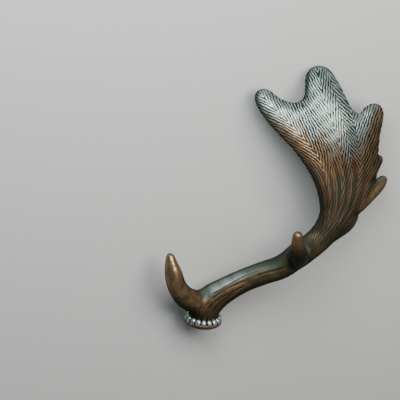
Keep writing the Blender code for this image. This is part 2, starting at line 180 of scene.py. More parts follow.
@dataclass(frozen=True, eq=False)
class Route:
    """A tapered round limb: rows of x, y, z and radius from its root to its tip."""

    rows: Array
    oval: float = 1.0

    def distance(self, points: Array) -> Array:
        """Measure points against the surface of the limb.

        Args:
            points: The points, one row each.

        Returns:
            The distance of each point from the surface, negative inside it.
        """
        squeeze = np.array([1, 1 / self.oval, 1])
        line = spline(self.rows)
        middle = line[:, :3] * squeeze
        radius = line[:, 3]
        squeezed = points * squeeze
        nearest = np.full(len(points), np.inf)
        for i in range(len(line) - 1):
            gap, along = along_segment(squeezed, middle[i], middle[i + 1])
            away = np.sqrt((gap * gap).sum(axis=1))
            nearest = np.minimum(nearest, away - radius[i] - (radius[i + 1] - radius[i]) * along)
        return nearest

    def read(self, points: Array) -> tuple[Array, Array]:
        """Read where points lie on the limb.

        Args:
            points: The points, one row each.

        Returns:
            The length from the root to each point, and its angle round the limb in degrees: 0 faces
            the outer side and 90 the upper edge.
        """
        line = spline(self.rows)[:, :3]
        nearest = np.full(len(points), np.inf)
        length = np.zeros(len(points))
        angle = np.zeros(len(points))
        start = 0.0
        for i in range(len(line) - 1):
            run = line[i + 1] - line[i]
            gap, along = along_segment(points, line[i], line[i + 1])
            away = (gap * gap).sum(axis=1)
            closer = away < nearest
            outer = np.array([0, -1.0, 0]) + run * run[1] / (run @ run)
            outer /= np.linalg.norm(outer)
            upper = np.cross(outer, run / np.linalg.norm(run))
            nearest = np.where(closer, away, nearest)
            length = np.where(closer, start + along * np.linalg.norm(run), length)
            angle = np.where(closer, np.degrees(np.arctan2(gap @ upper, gap @ outer)), angle)
            start += np.linalg.norm(run)
        return length, angle


@dataclass(frozen=True, eq=False)
class Blade:
    """The dished palm: an outline in x and z, and stations that give its middle layer and thickness.

    Each station is x, z, then y of the middle layer, half the thickness and the width of the edge.
    """

    outline: Array
    stations: Array
    thickness_range: Pair = (0.007, 0.027)
    edge_range: Pair = (0.010, 0.031)
    unit: float = 0.1
    slack: float = 0.0002

    def border(self) -> Array:
        """The smooth outline as closed points."""
        return spline(self.outline, closed=True)

    def depth(self, flat: Array) -> Array:
        """Measure places against the outline.

        Args:
            flat: Places in x and z, one row each.

        Returns:
            How far each place lies inside the outline, negative outside it.
        """
        border = self.border()
        nearest = np.full(len(flat), np.inf)
        inside = np.zeros(len(flat), dtype=bool)
        for start, end in zip(border, np.roll(border, -1, axis=0)):
            gap, _ = along_segment(flat, start, end)
            nearest = np.minimum(nearest, (gap * gap).sum(axis=1))
            spans = (start[1] > flat[:, 1]) != (end[1] > flat[:, 1])
            rise = end[1] - start[1]
            if rise:
                crossing = start[0] + (flat[:, 1] - start[1]) / rise * (end[0] - start[0])
                inside ^= spans & (flat[:, 0] < crossing)
        return np.where(inside, 1, -1) * np.sqrt(nearest)

    @staticmethod
    def bend(square: Array) -> Array:
        """The bending function of a thin plate, from the square of a distance."""
        return np.where(square > 0, 0.5 * square * np.log(np.maximum(square, TINY)), 0)

    def weights(self) -> Array:
        """Fit a smooth sheet through the stations.

        Returns:
            The weight of each station, and three more rows for the flat part of the sheet.
        """
        places = self.stations[:, :2] / self.unit
        count = len(places)
        square = ((places[:, None] - places[None]) ** 2).sum(axis=2)
        system = np.zeros((count + 3, count + 3))
        system[:count, :count] = self.bend(square) + self.slack * np.eye(count)
        system[:count, count] = 1
        system[:count, count + 1:] = places
        system[count:, :count] = system[:count, count:].T
        return np.linalg.solve(system, np.vstack([self.stations[:, 2:], np.zeros((3, 3))]))

    def sheet(self, flat: Array) -> tuple[Array, Array, Array, Array]:
        """Read the sheet at places in x and z.

        Args:
            flat: The places, one row each.

        Returns:
            The y of the middle layer, half the thickness, the width of the edge, and the slope.
        """
        weights = self.weights()
        stations = self.stations[:, :2] / self.unit
        places = flat / self.unit
        gap = places[:, None] - stations[None]
        square = (gap ** 2).sum(axis=2)
        count = len(stations)
        values = self.bend(square) @ weights[:count] + weights[count] + places @ weights[count + 1:]
        pull = (np.log(np.maximum(square, TINY)) + 1) * weights[:count, 0]
        lean = (gap * pull[:, :, None]).sum(axis=1) + weights[count + 1:, 0]
        slope = np.sqrt(1 + ((lean / self.unit) ** 2).sum(axis=1))
        thick = np.clip(values[:, 1], *self.thickness_range)
        edge = np.clip(values[:, 2], *self.edge_range)
        return values[:, 0], thick, edge, slope

    def distance(self, points: Array) -> Array:
        """Measure points against the surface of the blade.

        Args:
            points: The points, one row each.

        Returns:
            The distance of each point from the surface, negative inside it.
        """
        flat = points[:, [0, 2]]
        middle, thick, edge, slope = self.sheet(flat)
        across = (points[:, 1] - middle) / slope
        outside = np.maximum(edge - self.depth(flat), 0)
        return (np.sqrt((outside / edge) ** 2 + (across / thick) ** 2) - 1) * np.minimum(thick, edge)


@dataclass(frozen=True, eq=False)
class Burr:
    """The rolled crown round the foot of the beam, and the seal below it."""

    axis: Triple = (0.10, -0.43, 0.897)
    centre: Triple = (0.0, 0.0, -0.0040)
    radius: float = 0.0255
    roll: float = 0.0070
    seal_radius: float = 0.0205
    seal_height: float = 0.0070
    seal_drop: float = 0.0045
    join: float = 0.0025
    pearls: int = 18

    def turn(self) -> Matrix:
        """The matrix from a ring in the XY plane to the place of the crown."""
        turn = Vector(self.axis).normalized().to_track_quat("Z", "Y").to_matrix().to_4x4()
        return Matrix.Translation(self.centre) @ turn

    def read(self, points: Array) -> tuple[Array, Array, Array]:
        """Read where points lie round the burr.

        Args:
            points: The points, one row each.

        Returns:
            The height above the crown, the radius from its axis and the angle round it, in radians.
        """
        matrix = np.array(self.turn())
        local = (points - matrix[:3, 3]) @ matrix[:3, :3]
        return local[:, 2], np.hypot(local[:, 0], local[:, 1]), np.arctan2(local[:, 1], local[:, 0])

    def distance(self, points: Array) -> Array:
        """Measure points against the surface of the crown and the seal.

        Args:
            points: The points, one row each.

        Returns:
            The distance of each point from the surface, negative inside it.
        """
        height, radius, _ = self.read(points)
        crown = np.hypot(np.maximum(radius - self.radius, 0), height) - self.roll
        dome = np.hypot(radius / self.seal_radius, (height + self.seal_drop) / self.seal_height) - 1
        return fillet(crown, dome * self.seal_height, self.join)


@dataclass(frozen=True, eq=False)
class Channels:
    """Long channels of the lower palm, which follow its two edges and fan out between them."""

    front: Array
    rear: Array
    count: float = 7.5
    depth: float = 0.0011
    fade: Pair = (0.235, 0.300)
    start_rise: float = 0.04
    least_width: float = 0.01
    crowding: float = 3.0
    edge_slope: float = 4.0

    @staticmethod
    def edge(height: Array, side: Array) -> Array:
        """X of one edge at each height."""
        order = np.argsort(side[:, 1])
        return np.interp(height, side[order, 1], side[order, 0])

    def across(self, points: Array) -> Array:
        """Read where points lie across the palm.

        Args:
            points: The points, one row each.

        Returns:
            How far each point lies from the front edge to the rear one, from 0 to 1.
        """
        front = self.edge(points[:, 2], self.front)
        rear = self.edge(points[:, 2], self.rear)
        return (points[:, 0] - front) / np.maximum(rear - front, self.least_width)

    def wave(self, points: Array) -> Array:
        """Read where points lie in the channels.

        Args:
            points: The points, one row each.

        Returns:
            0 on the crests and 1 in the middle of the channels.
        """
        across = self.across(points)
        shift = self.crowding * np.sin(self.crowding * across)
        return 0.5 - 0.5 * np.cos(2 * math.pi * self.count * across + shift)

    def strength(self, points: Array) -> Array:
        """Read how strong the channels are.

        Args:
            points: The points, one row each.

        Returns:
            The strength at each point, from 0 where the channels fade out to 1.
        """
        across = self.across(points)
        low, high = self.fade
        fade = np.clip((high - points[:, 2]) / (high - low), 0, 1)
        start = np.clip((points[:, 2] - self.front[-1, 1]) / self.start_rise, 0, 1)
        front = np.clip(self.edge_slope * across, 0, 1)
        rear = np.clip(self.edge_slope * (1 - across), 0, 1)
        return fade * start * front * rear

    def relief(self, points: Array) -> Array:
        """How deep the channels are at each point."""
        return self.depth * self.wave(points) * self.strength(points)


BEAM = Route(metres([
    (1.5, -6, 7, 22.5), (4, -12, 17, 26), (16, -20.5, 31.5, 25), (36.5, -29, 45, 22),
    (68, -37.5, 61.5, 20), (102, -46, 74.5, 20), (134, -52.5, 85.5, 20.5), (161.5, -59.5, 105, 21),
    (187, -64.5, 125, 20.5), (206.5, -71.5, 146.5, 20), (219, -83.5, 172.5, 19.5)]), oval=1.18)
BROW_TINE = Route(metres([
    (-11, -30.5, 24, 21), (-31, -57, 34.5, 18.5), (-44, -75, 52, 16.5), (-49.5, -86.5, 71, 15.5),
    (-53.5, -93.5, 88.5, 11.5), (-55.5, -97, 101.5, 8)]))
TRAY_TINE = Route(metres([
    (163, -64.5, 105.5, 18.5), (161.5, -92.5, 101.5, 17), (161.5, -118.5, 103, 16),
    (161.5, -144.5, 110.5, 14.5), (161.5, -168.5, 123.5, 12), (161, -182, 137.5, 9)]))
PALM_RIM = Route(metres([
    (209, -76.5, 144, 16.5), (217, -95, 175, 15.5), (214.5, -119, 204, 15),
    (208.5, -137.5, 229.5, 16), (195.5, -151.5, 257.5, 15.5), (176, -161.5, 283.5, 15),
    (155, -168.5, 309, 15), (133.5, -173.5, 333, 14.5), (117, -175, 353.5, 14.5),
    (103.5, -175, 372, 13)]))
REAR_SPUR = Route(metres([
    (221, -61, 154.5, 20.5), (238, -34, 161.5, 18.5), (249.5, -8.5, 170, 14.5), (255, 14.5, 181.5, 10)]))
LOWER_POINT = Route(metres([
    (265, -67, 189.5, 11.5), (284, -57, 209, 11.8), (298, -48, 223, 10.8), (305.5, -41.5, 233, 8.5)]))
UPPER_POINT = Route(metres([(280.5, -85, 246.5, 12), (290.5, -76.5, 258.5, 9.5), (298, -73, 267, 8)]))
PALM = Blade(
    outline=metres([
        (102, 388), (91, 383), (88, 372), (93, 355), (110, 331), (132, 307), (154, 286), (173, 259),
        (188, 233), (196, 207), (200, 185), (199, 163), (188, 145), (173, 128), (168, 110), (175, 94),
        (190, 101), (210, 115), (228, 133), (249, 153), (267, 176.5), (281, 197.5), (290, 219), (296, 240),
        (298, 264), (299, 279), (301, 303), (305, 326), (308, 344), (303, 359), (290, 364), (275, 357),
        (266, 346), (253, 355), (240, 381), (227, 405), (214, 422), (198, 428), (182, 422), (174, 409),
        (173, 389), (171, 374), (162, 366), (149, 365), (132, 372), (115, 384)]),
    stations=metres([
        (100.5, 374, -177, 11, 15.5), (122.5, 348.5, -178.5, 11, 18.5), (158, 301, -171.5, 10.5, 22),
        (187, 253.5, -151.5, 10, 22), (200.5, 199, -112, 12, 24), (195.5, 144.5, -73, 18.5, 27),
        (182, 114, -64.5, 20.5, 24), (199, 403, -149.5, 18, 26.5), (202.5, 360.5, -165, 14.5, 25.5),
        (216, 309.5, -166.5, 10, 25.5), (229.5, 258.5, -146, 9.5, 25.5), (238, 207.5, -109, 12, 25.5),
        (224.5, 156.5, -76.5, 18.5, 25.5), (290.5, 352, -127.5, 10, 16), (280.5, 318, -131, 9.5, 22),
        (270.5, 275.5, -122.5, 9, 24), (294, 284, -97, 8, 17), (267, 233, -97, 10, 22),
        (287.5, 233, -71.5, 8.5, 15.5), (260, 194, -73, 12, 18.5), (241.5, 161.5, -59.5, 15.5, 18.5)]))
TINES = (BROW_TINE, TRAY_TINE, REAR_SPUR)
BURR = Burr()
CHANNELS = Channels(front=PALM.outline[4:16], rear=PALM.outline[15:29])


@dataclass(frozen=True, eq=False)
class Form:
    """The whole form of the antler, as one distance with a fillet at every fork."""

    palm_fillet: float = 0.008
    rim_fillet: float = 0.007
    brow_fillet: float = 0.010
    tray_fillet: float = 0.009
    spur_fillet: float = 0.012
    point_fillet: float = 0.009
    burr_fillet: float = 0.005
    slope_step: float = 0.0004
    least_slope: float = 0.25
    reach: float = 0.004

    def distance(self, points: Array) -> Array:
        """Measure points against the skin.

        Args:
            points: The points, one row each.

        Returns:
            The distance of each point from the skin, negative inside it.
        """
        joins = (
            (PALM, self.palm_fillet), (PALM_RIM, self.rim_fillet), (BROW_TINE, self.brow_fillet),
            (TRAY_TINE, self.tray_fillet), (REAR_SPUR, self.spur_fillet),
            (LOWER_POINT, self.point_fillet), (UPPER_POINT, self.point_fillet), (BURR, self.burr_fillet))
        distance = BEAM.distance(points)
        for shape, width in joins:
            distance = fillet(distance, shape.distance(points), width)
        return distance + CHANNELS.relief(points)

    def settle(self, points: Array, steps: int) -> Array:
        """Draw points that lie near the skin onto it.

        Args:
            points: The points, one row each.
            steps: How many times each point is moved.

        Returns:
            The points on the skin.
        """
        for _ in range(steps):
            here = self.distance(points)
            slope = np.empty_like(points)
            for axis in range(3):
                moved = points.copy()
                moved[:, axis] += self.slope_step
                slope[:, axis] = (self.distance(moved) - here) / self.slope_step
            steep = np.maximum((slope ** 2).sum(axis=1), self.least_slope)
            move = -here[:, None] * slope / steep[:, None]
            length = np.maximum(np.linalg.norm(move, axis=1), TINY)
            points = points + move * np.minimum(1, self.reach / length)[:, None]
        return points


@dataclass(frozen=True, eq=False)
class Vein:
    """A line on the palm from which the striae part like the barbs of a feather: x and z, foot to tip."""

    rows: Array
    top_lean: float
    foot_lean: float = 8.0
    rise: Pair = (0.19, 0.29)

    def lean(self, height: Array) -> Array:
        """The angle between a stria and the vein at each height, in radians."""
        return np.radians(self.foot_lean + (self.top_lean - self.foot_lean) * ramp(height, *self.rise))

    def read(self, flat: Array) -> tuple[Array, Array]:
        """Read places against the vein.

        Args:
            flat: Places in x and z, one row each.

        Returns:
            The run of striae counted along the vein up to each place, and its signed distance from it.
        """
        line = spline(self.rows)
        nearest = np.full(len(flat), np.inf)
        run_of = np.zeros(len(flat))
        side_of = np.zeros(len(flat))
        start = 0.0
        for i in range(len(line) - 1):
            run = line[i + 1] - line[i]
            length = np.linalg.norm(run)
            free = (flat - line[i]) @ run / (run @ run)
            low = -np.inf if i == 0 else 0.0
            high = np.inf if i == len(line) - 2 else 1.0
            along = np.clip(free, low, high)
            gap = flat - line[i] - along[:, None] * run
            away = (gap * gap).sum(axis=1)
            closer = away < nearest
            rise = math.sin(float(self.lean(0.5 * (line[i, 1] + line[i + 1, 1])))) * length
            side = (gap[:, 0] * run[1] - gap[:, 1] * run[0]) / length
            nearest = np.where(closer, away, nearest)
            run_of = np.where(closer, start + along * rise, run_of)
            side_of = np.where(closer, side, side_of)
            start += rise
        return run_of, side_of


@dataclass(frozen=True, eq=False)
class Feathering:
    """The fine striae of the palm and the spellers."""

    veins: tuple[Vein, ...]
    spacing: float = 0.0043
    depth: float = 0.00075
    low_depth: float = 0.00036
    sharpness: float = 1.1
    blend: float = 0.0030
    low_sway: float = 0.35
    sway_rise: Pair = (0.20, 0.28)
    depth_rise: Pair = (0.20, 0.29)
    waves: tuple[Triple, ...] = (
        (190.0, 110.0, 0.55), (-70.0, 260.0, 0.55), (430.0, -310.0, 0.42), (150.0, 560.0, 0.42),
        (-820.0, 640.0, 0.30), (900.0, 420.0, 0.30))

    def relief(self, points: Array) -> tuple[Array, Array]:
        """Read the striae at points.

        Args:
            points: Points on the skin, one row each.

        Returns:
            How much each point lies in a groove, from 0 to 1, and how deep the grooves are there.
        """
        flat = points[:, [0, 2]]
        height = points[:, 2]
        sway = sum(size * np.sin(flat @ np.array([along, up])) for along, up, size in self.waves)
        sway *= at_least(self.low_sway, ramp(height, *self.sway_rise))
        aways, grooves = [], []
        for vein in self.veins:
            run, side = vein.read(flat)
            phase = 2 * math.pi / self.spacing * (run - np.abs(side) * np.cos(vein.lean(height))) + sway
            aways.append(np.abs(side))
            grooves.append((0.5 + 0.5 * np.cos(phase)) ** self.sharpness)
        away = np.array(aways)
        share = np.exp(-(away - away.min(axis=0)) / self.blend)
        groove = (share * np.array(grooves)).sum(axis=0) / share.sum(axis=0)
        depth = self.low_depth + (self.depth - self.low_depth) * ramp(height, *self.depth_rise)
        return groove, depth


FEATHERING = Feathering(veins=(
    Vein(metres([
        (190, 126), (202, 156), (211, 199), (207, 240), (196, 272), (175, 299), (158, 317), (139, 337),
        (115, 361), (100, 377)]), top_lean=20.0),
    Vein(metres([
        (199, 121), (212, 144), (228, 178), (236, 216), (238, 250), (235, 280), (228, 309), (218, 338),
        (209, 364), (200, 394), (194, 423)]), top_lean=17.0),
    Vein(metres([
        (216, 131), (233, 156), (250, 190), (262, 224), (268, 258), (266, 284), (262, 308), (257, 332),
        (253, 348)]), top_lean=32.0)))


@dataclass(frozen=True)
class Groove:
    """One long groove of the beam: its angle and half width in degrees, its start, end and depth."""

    angle: float
    half_width: float
    start: float
    end: float
    depth: float
    sway: float = 3.5
    sway_rate: float = 55.0
    start_fade: float = 0.012
    end_fade: float = 0.025

    def relief(self, length: Array, angle: Array) -> Array:
        """Read the groove at places on the beam.

        Args:
            length: How far along the beam each place lies.
            angle: Its angle round the beam, in degrees.

        Returns:
            How much each place lies in the groove, from 0 to 1.
        """
        sway = self.sway * np.sin(length * self.sway_rate + self.angle)
        turn = (angle - self.angle - sway + 180) % 360 - 180
        opening = ramp(length, self.start, self.start + self.start_fade)
        closing = ramp(length, self.end, self.end - self.end_fade)
        return np.exp(-(turn / self.half_width) ** 2) * opening * closing


@dataclass(frozen=True, eq=False)
class BeamGrain:
    """Long grooves, faint striae and wrinkles of the beam."""

    marked: tuple[Groove, ...] = (
        Groove(-2, 5.0, 0.022, 0.125, 0.0008), Groove(-19, 5.5, 0.018, 0.115, 0.0011),
        Groove(-34, 5.5, 0.018, 0.090, 0.0010), Groove(-6, 4.5, 0.118, 0.215, 0.0008),
        Groove(14, 4.0, 0.040, 0.150, 0.0002), Groove(-50, 5.0, 0.040, 0.130, 0.0004),
        Groove(160, 6.0, 0.030, 0.150, 0.0007), Groove(-150, 6.0, 0.040, 0.180, 0.0007),
        Groove(128, 5.0, 0.060, 0.190, 0.0004), Groove(-112, 5.0, 0.030, 0.120, 0.0005))
    stria_turn: float = 9.0
    stria_depth: float = 0.00026
    stria_share: float = 0.45
    stria_sway: float = 2.0
    stria_rate: float = 40.0
    patch_rates: Pair = (60.0, 0.05)
    wrinkle_spacing: float = 0.0034
    wrinkle_depth: float = 0.00042
    wrinkle_sway: float = 2.2
    wrinkle_turns: float = 9.0
    wrinkle_slope: float = 40.0
    wrinkle_start: Pair = (0.016, 0.022)
    wrinkle_end: Pair = (0.047, 0.037)

    def relief(self, points: Array) -> tuple[Array, Array, Array]:
        """Read the grain of the beam at points.

        Args:
            points: Points on the skin, one row each.

        Returns:
            How much each point lies in a long groove, from 0 to 1, how much it lies in the finer
            striae and wrinkles, and how deep it is sunk by all of them.
        """
        length, angle = BEAM.read(points)
        groove = np.zeros(len(points))
        depth = np.zeros(len(points))
        for line in self.marked:
            share = line.relief(length, angle)
            groove = np.maximum(groove, share)
            depth += share * line.depth
        sway = self.stria_sway * np.sin(length * self.stria_rate)
        faint = 0.5 + 0.5 * np.cos(np.radians(angle * 360 / self.stria_turn) + sway)
        patch = 0.5 + 0.5 * np.sin(length * self.patch_rates[0] + angle * self.patch_rates[1])
        depth += self.stria_depth * faint * patch
        height, radius, turn = BURR.read(points)
        sway = self.wrinkle_sway * np.sin(turn * self.wrinkle_turns) + self.wrinkle_slope * radius
        wave = np.sin(2 * math.pi * height / self.wrinkle_spacing + sway)
        wrinkle = (0.5 + 0.5 * wave) * ramp(height, *self.wrinkle_start) * ramp(height, *self.wrinkle_end)
        depth += self.wrinkle_depth * wrinkle
        return groove, np.clip(self.stria_share * faint * patch + wrinkle, 0, 1), depth


@dataclass(frozen=True, eq=False)
class Flutes:
    """Flutes that run up from the gaps between the pearls into the foot of the beam."""

    depth: float = 0.0013
    sharpness: float = 1.3
    foot: Pair = (-0.001, 0.004)
    top: Pair = (0.024, 0.006)
    reach: Pair = (0.050, 0.040)

    def relief(self, points: Array) -> tuple[Array, Array]:
        """Read the flutes at points.

        Args:
            points: Points on the skin, one row each.

        Returns:
            How much each point lies in a flute, from 0 to 1, and how deep it is sunk by it.
        """
        height, radius, angle = BURR.read(points)
        near = ramp(height, *self.foot) * ramp(height, *self.top) * ramp(radius, *self.reach)
        share = (0.5 - 0.5 * np.cos(angle * BURR.pearls)) ** self.sharpness * near
        return share, self.depth * share


@dataclass(frozen=True)
class Cut:
    """One main fork: a place on it and the way it faces, in millimetres, and the limb beyond it."""

    region: Region
    place: Triple
    facing: Triple
    limb: Optional[Route] = None
    low: Pair = (-1000.0, 0.0)
    high: Pair = (1000.0, 1000.0)
    clearance: float = 0.012

    def past(self, points: Array) -> Array:
        """How far each point lies past the plane of the fork."""
        return (points - np.array(self.place) * MM) @ np.array(self.facing)

    def holds(self, points: Array) -> Array:
        """Tell which points belong to the limb beyond the fork.

        Args:
            points: The points, one row each.

        Returns:
            True for each point past the plane that lies at the limb, or in the box from low to high.
        """
        beyond = self.past(points) > 0
        if self.limb is not None:
            return beyond & (self.limb.distance(points) < self.clearance)
        flat = points[:, [0, 2]] / MM
        return beyond & (flat > self.low).all(axis=1) & (flat < self.high).all(axis=1)


PALM_FORK = Cut(Region.PALM, (196, -72, 133), (0.62, -0.18, 0.76), low=(60, 90))
CUTS = (
    Cut(Region.BROW, (-30, -62, 43), (-0.50, -0.67, 0.55), limb=BROW_TINE),
    Cut(Region.TRAY, (161.5, -104, 101), (0.0, -1.0, 0.05), limb=TRAY_TINE),
    Cut(Region.SPUR, (244, -19, 167), (0.38, 0.87, 0.30), limb=REAR_SPUR),
    Cut(Region.FRONT, (147, -170, 340.5), (-0.87, 0.0, 0.49), low=(0, 290), high=(172, 430)),
    Cut(Region.TOP, (214.8, -165, 360.6), (0.25, 0.0, 0.968), low=(160, 330), high=(264, 450)),
    Cut(Region.REAR, (283, -127, 324), (0.80, 0.0, 0.60), low=(255, 290), high=(330, 400)),
    PALM_FORK,
)


def read_rows(items: Any, name: str) -> Array:
    """Read one property of every item, three numbers to a row.

    Args:
        items: The points or normals of a mesh.
        name: The name of the property.

    Returns:
        One row for each item.
    """
    values = np.empty(len(items) * 3, dtype=np.float32)
    items.foreach_get(name, values)
    return values.reshape(-1, 3).astype(float)


def read_corners(mesh: bpy.types.Mesh, size: int) -> Array:
    """Read the corners of a mesh whose faces all have the same number of them.

    Args:
        mesh: The mesh.
        size: The number of corners of a face.

    Returns:
        The numbers of the points at the corners, one row for each face.
    """
    values = np.empty(len(mesh.loops), dtype=np.int32)
    mesh.loops.foreach_get("vertex_index", values)
    return values.reshape(-1, size)


def store(mesh: bpy.types.Mesh, numbers: dict[str, Array]) -> None:
    """Store numbers at the points of a mesh, each under its own name."""
    for name, values in numbers.items():
        mesh.attributes.new(name, "FLOAT", "POINT").data.foreach_set("value", values)


@dataclass
class SkinMesh:
    """A mesh held as arrays, in the frame in which the antler grows."""

    points: Array
    quads: Array

    def keep_largest(self) -> "SkinMesh":
        """Drop every loose part but the one with the most points.

        Returns:
            A new mesh of that part.
        """
        label = np.arange(len(self.points))
        changed = True
        while changed:
            low = label[self.quads].min(axis=1)
            fresh = label.copy()
            for corner in range(4):
                np.minimum.at(fresh, self.quads[:, corner], low)
            changed = bool((fresh != label).any())
            label = fresh[fresh]
        keep = label == np.bincount(label).argmax()
        number = np.cumsum(keep) - 1
        faces = keep[self.quads].all(axis=1)
        return SkinMesh(self.points[keep], number[self.quads[faces]])

    def even_out(self, rounds: int) -> None:
        """Move each point towards the middle of its neighbours, which evens the faces out.

        Args:
            rounds: How many times each point is moved.
        """
        size = len(self.points)
        near = self.quads.ravel()
        far = np.roll(self.quads, -1, axis=1).ravel()
        count = np.bincount(near, minlength=size) + np.bincount(far, minlength=size)
        for _ in range(rounds):
            total = np.zeros_like(self.points)
            for axis in range(3):
                total[:, axis] = np.bincount(near, self.points[far, axis], size)
                total[:, axis] += np.bincount(far, self.points[near, axis], size)
            self.points = 0.5 * self.points + 0.5 * total / count[:, None]

    def to_mesh(self, name: str) -> bpy.types.Mesh:
        """Make a Blender mesh of the arrays.

        Args:
            name: The name of the mesh.

        Returns:
            The new mesh.
        """
        mesh = bpy.data.meshes.new(name)
        mesh.from_pydata(self.points.tolist(), [], self.quads.tolist())
        return mesh

    def normals(self) -> Array:
        """Work out the smooth normal at each point.

        Returns:
            The normals, one row each.
        """
        mesh = self.to_mesh("normals")
        normals = read_rows(mesh.vertex_normals, "vector")
        bpy.data.meshes.remove(mesh)
        return normals

    @staticmethod
    def read(mesh: bpy.types.Mesh) -> "SkinMesh":
        """Read a mesh of quads into arrays."""
        return SkinMesh(read_rows(mesh.vertices, "co"), read_corners(mesh, 4))


def evaluated_mesh(obj: bpy.types.Object) -> bpy.types.Mesh:
    """The object's mesh with its modifiers, as a new mesh."""
    view = bpy.context.evaluated_depsgraph_get()
    return bpy.data.meshes.new_from_object(obj.evaluated_get(view), depsgraph=view)


def add_object(name: str, data: Any) -> bpy.types.Object:
    """Put a new object in the scene.

    Args:
        name: The name of the object.
        data: Its mesh, light or camera.

    Returns:
        The new object.
    """
    obj = bpy.data.objects.new(name, data)
    bpy.context.scene.collection.objects.link(obj)
    return obj


class Wire:
    """A node's output, with Python's operators adding Math nodes to its graph."""

    def __init__(self, graph: "Graph", socket: bpy.types.NodeSocket) -> None:
        """Wrap one output socket of a graph."""
        self.graph = graph
        self.socket = socket

    def _math(self, operation: str, first: Any, second: Any) -> "Wire":
        """Add one Math node for an operation on two values or wires."""
        node = self.graph.node("ShaderNodeMath", {"operation": operation}, {0: first, 1: second})
        return Wire(self.graph, node.outputs[0])

    def __add__(self, other: Any) -> "Wire":
        """Add a value or wire."""
        return self._math("ADD", self, other)

    __radd__ = __add__

    def __sub__(self, other: Any) -> "Wire":
        """Subtract a value or wire."""
        return self._math("SUBTRACT", self, other)

    def __rsub__(self, other: Any) -> "Wire":
        """Subtract this from a value."""
        return self._math("SUBTRACT", other, self)

    def __mul__(self, other: Any) -> "Wire":
        """Multiply by a value or wire."""
        return self._math("MULTIPLY", self, other)

    __rmul__ = __mul__

    def highest(self, other: Any) -> "Wire":
        """The greater of this and a value or wire."""
        return self._math("MAXIMUM", self, other)

    def ramp(self, low: float, high: float, start: float = 0.0, end: float = 1.0) -> "Wire":
        """Run smoothly between two values.

        Args:
            low: Where the run begins.
            high: Where it ends.
            start: The result at low and below.
            end: The result at high and above.

        Returns:
            The result as a wire.
        """
        node = self.graph.node(
            "ShaderNodeMapRange", {"interpolation_type": "SMOOTHSTEP", "clamp": True},
            {"Value": self, "From Min": low, "From Max": high, "To Min": start, "To Max": end})
        return Wire(self.graph, node.outputs["Result"])


class Graph:
    """A node tree under construction."""

    def __init__(self, tree: bpy.types.NodeTree) -> None:
        """Start from a tree with no nodes."""
        self.tree = tree
        self.tree.nodes.clear()

    def node(
        self, kind: str, settings: Optional[dict[str, Any]] = None,
        inputs: Optional[dict[Union[str, int], Any]] = None) -> bpy.types.Node:
        """Add one node.

        Args:
            kind: The node's type.
            settings: Its properties, which are set first.
            inputs: Values, wires or sockets by input name, identifier or number.

        Returns:
            The new node.
        """
        node = self.tree.nodes.new(kind)
        for name, value in (settings or {}).items():
            setattr(node, name, value)
        for key, value in (inputs or {}).items():
            self.plug(self.socket(node, key), value)
        return node

    @staticmethod
    def socket(node: bpy.types.Node, key: Union[str, int]) -> bpy.types.NodeSocket:
        """Find an input of a node.

        Args:
            node: The node.
            key: The input's number, identifier or name.

        Returns:
            The input's socket.
        """
        if isinstance(key, int):
            return node.inputs[key]
        for socket in node.inputs:
            if socket.identifier == key:
                return socket
        return node.inputs[key]

    def plug(self, socket: bpy.types.NodeSocket, value: Any) -> None:
        """Link a wire or socket to an input, or set a plain value on it.

        Args:
            socket: The input.
            value: A wire, a socket, a colour or another plain value.
        """
        if isinstance(value, Wire):
            value = value.socket
        if isinstance(value, bpy.types.NodeSocket):
            self.tree.links.new(value, socket)
        elif isinstance(value, tuple) and len(value) == 3 and socket.type == "RGBA":
            socket.default_value = (*value, 1.0)
        else:
            socket.default_value = value


class Shade(Graph):
    """A material built from a Principled shader."""

    def __init__(self, name: str) -> None:
        """Make the material and its empty tree.

        Args:
            name: The name of the material.
        """
        self.material = bpy.data.materials.new(name)
        self.material.use_nodes = True
        super().__init__(self.material.node_tree)

    def attribute(self, name: str) -> Wire:
        """A number stored at every point of the skin."""
        node = self.node("ShaderNodeAttribute", {"attribute_name": name, "attribute_type": "GEOMETRY"})
        return Wire(self, node.outputs["Fac"])

    def noise(self, scale: float, detail: float, roughness: float = 0.55) -> Wire:
        """Lay cloudy noise over the object.

        Args:
            scale: How many clouds there are to a metre.
            detail: How many finer layers it has.
            roughness: How strong the finer layers are.

        Returns:
            The noise, from 0 to 1.
        """
        place = self.node("ShaderNodeTexCoord").outputs["Object"]
        node = self.node("ShaderNodeTexNoise", {}, {
            "Vector": place, "Scale": scale, "Detail": detail, "Roughness": roughness})
        return Wire(self, node.outputs["Fac"])

    def mix(self, first: Any, second: Any, share: Any) -> Wire:
        """Mix two colours.

        Args:
            first: The colour where the share is 0.
            second: The colour where the share is 1.
            share: How much of the second there is, from 0 to 1.

        Returns:
            The mixed colour.
        """
        node = self.node(
            "ShaderNodeMix", {"data_type": "RGBA", "clamp_factor": True},
            {"Factor_Float": share, "A_Color": first, "B_Color": second})
        return Wire(self, node.outputs[2])

    def bump(self, height: Wire, distance: float) -> Wire:
        """A normal raised by a height."""
        node = self.node("ShaderNodeBump", {}, {"Height": height, "Distance": distance, "Strength": 1.0})
        return Wire(self, node.outputs["Normal"])

    def finish(self, inputs: dict[str, Any]) -> bpy.types.Material:
        """Add the shader and the output.

        Args:
            inputs: Values or wires by the names of the shader's inputs.

        Returns:
            The finished material.
        """
        shader = self.node("ShaderNodeBsdfPrincipled", {}, inputs)
        output = self.node("ShaderNodeOutputMaterial")
        self.tree.links.new(shader.outputs["BSDF"], output.inputs["Surface"])
        return self.material


